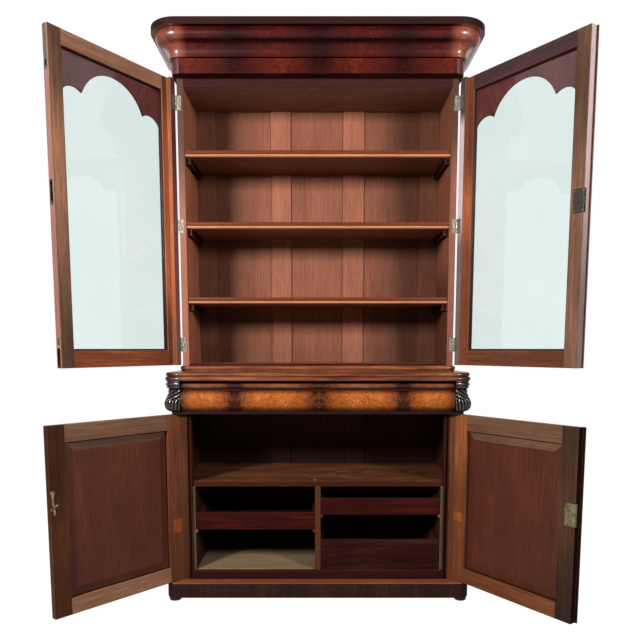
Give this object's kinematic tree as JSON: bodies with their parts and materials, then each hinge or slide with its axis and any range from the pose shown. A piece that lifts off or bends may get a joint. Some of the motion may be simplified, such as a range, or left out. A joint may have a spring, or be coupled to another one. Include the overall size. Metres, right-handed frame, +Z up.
{
  "type": "bookcase on cupboard",
  "caption": "Mahogany bookcase with glazed arched doors and adjustable shelves, standing on a deeper cupboard with a cushion frieze drawer, panelled doors, trays and a plinth.",
  "frame": {"origin": "centre of the bounding box of the open bookcase, on the floor under its feet", "axes": "+Z up, the doors open towards -Y, +X to the right seen from the front"},
  "size_m": [1.977, 0.967, 2.3998],
  "materials": {
    "polished_mahogany": "French polished red mahogany, satin to gloss",
    "flame_mahogany": "flame veneered mahogany, polished",
    "inside_mahogany": "worn brown mahogany, low sheen",
    "carved_mahogany": "dark polished carved mahogany",
    "pine": "bare pale pine",
    "tarnished_brass": "dull old brass",
    "lock_steel": "dark grey iron lock plate",
    "glass": "clear window glass"
  },
  "bodies": {
    "case": {"bookcase_left_side": "polished_mahogany", "bookcase_right_side": "polished_mahogany", "bookcase_base_moulding": "polished_mahogany", "cornice": "polished_mahogany", "cupboard_top": "polished_mahogany", "cupboard_left_side": "polished_mahogany", "cupboard_right_side": "polished_mahogany", "plinth": "polished_mahogany", "frieze": "flame_mahogany", "bookcase_back": "inside_mahogany", "bookcase_ceiling": "inside_mahogany", "bookcase_floor": "inside_mahogany", "shelf_1": "inside_mahogany", "shelf_2": "inside_mahogany", "shelf_3": "inside_mahogany", "cupboard_back": "inside_mahogany", "cupboard_floor": "inside_mahogany", "inner_shelf": "inside_mahogany", "centre_divider": "inside_mahogany", "head_rail": "inside_mahogany", "left_corbel": "carved_mahogany", "right_corbel": "carved_mahogany", "cornice_dust_board": "pine", "left_lining": "pine", "right_lining": "pine", "left_hinge_1_case_leaf": "tarnished_brass", "left_hinge_2_case_leaf": "tarnished_brass", "left_hinge_3_case_leaf": "tarnished_brass", "right_hinge_1_case_leaf": "tarnished_brass", "right_hinge_2_case_leaf": "tarnished_brass", "right_hinge_3_case_leaf": "tarnished_brass"},
    "upper_left_door": {"upper_left_door_frame": "polished_mahogany", "upper_left_door_spandrel": "carved_mahogany", "upper_left_door_glass": "glass", "left_hinge_1_door_leaf": "tarnished_brass", "left_hinge_2_door_leaf": "tarnished_brass", "left_hinge_3_door_leaf": "tarnished_brass"},
    "upper_right_door": {"upper_right_door_frame": "polished_mahogany", "upper_right_door_spandrel": "carved_mahogany", "upper_right_door_glass": "glass", "right_hinge_1_door_leaf": "tarnished_brass", "right_hinge_2_door_leaf": "tarnished_brass", "right_hinge_3_door_leaf": "tarnished_brass", "upper_lock": "lock_steel"},
    "lower_left_door": {"lower_left_door_frame": "polished_mahogany", "lower_left_door_panel": "polished_mahogany", "elbow_catch_plate": "tarnished_brass"},
    "lower_right_door": {"lower_right_door_frame": "polished_mahogany", "lower_right_door_panel": "polished_mahogany", "lower_lock": "lock_steel"},
    "frieze_drawer": {"frieze_drawer_front": "flame_mahogany", "frieze_drawer_box": "pine"},
    "left_tray": {"left_tray": "polished_mahogany"},
    "right_tray": {"right_tray": "polished_mahogany"},
    "deep_drawer": {"deep_drawer": "polished_mahogany"},
    "upper_lock_bolt": {"upper_lock_bolt": "tarnished_brass"},
    "lower_lock_bolt": {"lower_lock_bolt": "tarnished_brass"},
    "top_edge_bolt": {"top_edge_bolt": "tarnished_brass"},
    "bottom_edge_bolt": {"bottom_edge_bolt": "tarnished_brass"},
    "elbow_catch_lever": {"elbow_catch_lever": "tarnished_brass"}
  },
  "joints": [
    {"name": "upper_left_door_hinge", "type": "hinge", "parent": "case", "child": "upper_left_door", "pos_m": [-0.602, 0.16804, 1.6085], "axis": [0, 0, -1], "range_deg": [-122.9, 50]},
    {"name": "upper_right_door_hinge", "type": "hinge", "parent": "case", "child": "upper_right_door", "pos_m": [0.602, 0.16804, 1.6085], "axis": [0, 0, 1], "range_deg": [-124.5, 50]},
    {"name": "lower_left_door_hinge", "type": "hinge", "parent": "case", "child": "lower_left_door", "pos_m": [-0.582, -0.00646, 0.445], "axis": [0, 0, -1], "range_deg": [-131.2, 6]},
    {"name": "lower_right_door_hinge", "type": "hinge", "parent": "case", "child": "lower_right_door", "pos_m": [0.582, -0.00646, 0.445], "axis": [0, 0, 1], "range_deg": [-124.8, 12]},
    {"name": "frieze_drawer_slide", "type": "slide", "parent": "case", "child": "frieze_drawer", "axis": [0, -1, 0], "range_m": [0, 0.28]},
    {"name": "left_tray_slide", "type": "slide", "parent": "case", "child": "left_tray", "axis": [0, -1, 0], "range_m": [0, 0.28]},
    {"name": "right_tray_slide", "type": "slide", "parent": "case", "child": "right_tray", "axis": [0, -1, 0], "range_m": [0, 0.28]},
    {"name": "deep_drawer_slide", "type": "slide", "parent": "case", "child": "deep_drawer", "axis": [0, -1, 0], "range_m": [0, 0.28]},
    {"name": "upper_lock_bolt_slide", "type": "slide", "parent": "upper_right_door", "child": "upper_lock_bolt", "axis": [0.5664, -0.8241, 0], "range_m": [0, 0.008]},
    {"name": "lower_lock_bolt_slide", "type": "slide", "parent": "lower_right_door", "child": "lower_lock_bolt", "axis": [0.5707, -0.8211, 0], "range_m": [0, 0.008]},
    {"name": "top_edge_bolt_slide", "type": "slide", "parent": "upper_left_door", "child": "top_edge_bolt", "axis": [0, 0, 1], "range_m": [0, 0.012]},
    {"name": "bottom_edge_bolt_slide", "type": "slide", "parent": "upper_left_door", "child": "bottom_edge_bolt", "axis": [0, 0, -1], "range_m": [0, 0.012]},
    {"name": "elbow_catch_pivot", "type": "hinge", "parent": "lower_left_door", "child": "elbow_catch_lever", "pos_m": [-0.9539, -0.43977, 0.516], "axis": [-0.6587, -0.7524, 0], "range_deg": [0, 15], "stiffness_Nm_per_rad": 0.05}
  ]
}
